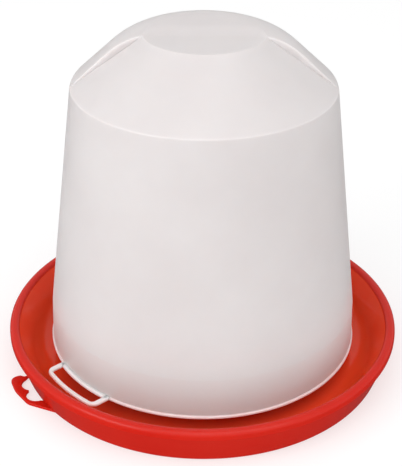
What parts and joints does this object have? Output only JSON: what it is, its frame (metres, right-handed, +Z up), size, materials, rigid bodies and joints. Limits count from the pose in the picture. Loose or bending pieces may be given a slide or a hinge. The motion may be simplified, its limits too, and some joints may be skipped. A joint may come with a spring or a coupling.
{
  "type": "poultry waterer fount",
  "caption": "Vacuum drinker for poultry: an upside-down plastic bucket with a grip loop and a stepped crown, standing in a round tray with a rounded lip and a finger tab.",
  "frame": {"origin": "on the ground at the centre of the tray's foot ring", "axes": "+Z up along the axis of the tray and the fount, -Y the front, where the crown's cut-back cone faces, +X to the right seen from the front"},
  "size_m": [0.335, 0.335, 0.2929],
  "materials": {
    "tray_plastic": "glossy injection-moulded polyethylene, opaque red",
    "jar_plastic": "satin injection-moulded polyethylene, milky white and slightly see-through"
  },
  "bodies": {
    "tray": {"drinking_tray": "tray_plastic"},
    "fount": {"fount_jar": "jar_plastic"}
  },
  "joints": [
    {"name": "fount_lift", "type": "slide", "parent": "tray", "child": "fount", "axis": [0, 0, 1], "range_m": [0, 0.15]}
  ]
}
